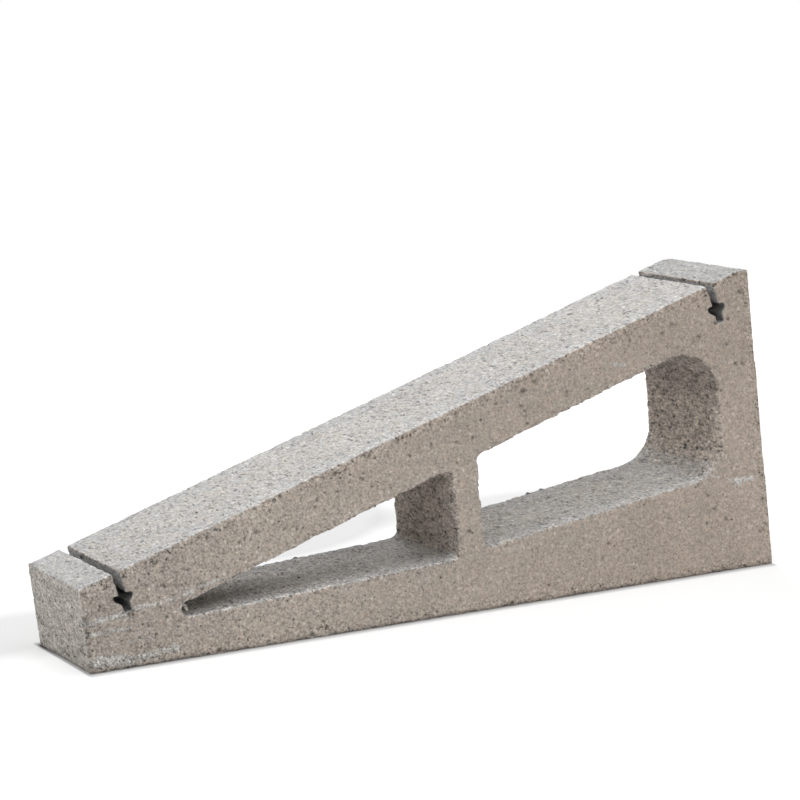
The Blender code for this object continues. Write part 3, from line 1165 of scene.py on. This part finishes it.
def floor_glow(made):
    """How strongly the floor glows for the camera: less in the shades."""
    strength = FLOOR_GLOW
    place = made.coordinates("Object")
    for (middle_x, middle_y), (half_length, half_width), turn, taken, softness in SHADES:
        sockets = {"Vector": place, "Location": (middle_x, middle_y, 0),
                   "Rotation": (0, 0, math.radians(turn)), "Scale": (half_length, half_width, 1)}
        inside = made.add("Mapping", sockets, vector_type="TEXTURE").outputs[0]
        shade = made.spread(made.length(inside), 1 - softness, 1 + softness, taken, 0.0)
        strength = made.math("SUBTRACT", strength, shade)
    along, across, _ = made.parts(place)
    beyond_end = made.math("SUBTRACT", made.math("ABSOLUTE", along), BASE_LENGTH / 2)
    beyond_end = made.math("DIVIDE", beyond_end, CONTACT_END_SHARE)
    beyond_side = made.math("SUBTRACT", made.math("ABSOLUTE", across), BLOCK_WIDTH / 2)
    sockets = {"X": made.math("MAXIMUM", beyond_end, 0.0), "Y": made.math("MAXIMUM", beyond_side, 0.0)}
    beyond = made.length(made.add("CombineXYZ", sockets).outputs[0])
    return made.math("SUBTRACT", strength, made.spread(beyond, 0.0, CONTACT_REACH, CONTACT_SHADE, 0.0))


def add_floor():
    """A white floor that keeps the block's shadow. The camera sees its colour raised to white."""
    mesh = bpy.data.meshes.new("floor")
    half = FLOOR_HALF
    corners = [(-half, -half, 0), (half, -half, 0), (half, half, 0), (-half, half, 0)]
    mesh.from_pydata(corners, [], [(0, 1, 2, 3)])
    floor = link(bpy.data.objects.new("floor", mesh))
    material = bpy.data.materials.new("floor")
    made = Nodes(material, "Principled BSDF")
    made.shader.inputs["Base Color"].default_value = FLOOR_BOUNCE
    made.shader.inputs["Roughness"].default_value = 1.0
    paper = made.add("BsdfDiffuse", {"Color": FLOOR_COLOUR}).outputs[0]
    glow = made.add("Emission", {"Strength": floor_glow(made)}).outputs[0]
    white = made.add("AddShader", {0: paper, 1: glow}).outputs[0]
    made.show_camera(white, "Material Output")
    floor.data.materials.append(material)


def add_lamp(name, place, size, power):
    """A soft square lamp that faces the block."""
    data = bpy.data.lights.new(name, "AREA")
    data.shape = "SQUARE"
    data.size = size
    data.energy = power
    lamp = link(bpy.data.objects.new(name, data))
    lamp.location = place
    lamp.rotation_euler = (-Vector(place)).to_track_quat("-Z", "Y").to_euler()


def light_up():
    """Even studio light from all round, most of it from above and behind."""
    scene = bpy.context.scene
    scene.view_settings.view_transform = "Standard"
    world = bpy.data.worlds.new("studio")
    made = Nodes(world, "Background")
    made.shader.inputs["Color"].default_value = WHITE
    made.shader.inputs["Strength"].default_value = AMBIENT
    made.show_camera(made.add("Background", {"Color": WHITE}).outputs[0], "World Output")
    scene.world = world
    for name, place, size, power in LAMPS:
        add_lamp(name, place, size, power)


def add_camera():
    """The camera of the photograph."""
    data = bpy.data.cameras.new("camera")
    data.lens = CAMERA_LENS
    data.sensor_width = SENSOR_WIDTH
    camera = link(bpy.data.objects.new("camera", data))
    camera.location = CAMERA_PLACE
    camera.rotation_euler = Euler([math.radians(angle) for angle in CAMERA_TURN])
    bpy.context.scene.camera = camera


add_camera()
light_up()
add_floor()
block = block_surface()
block.data.materials.append(concrete())
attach(block, "root")
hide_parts("ballast_block")
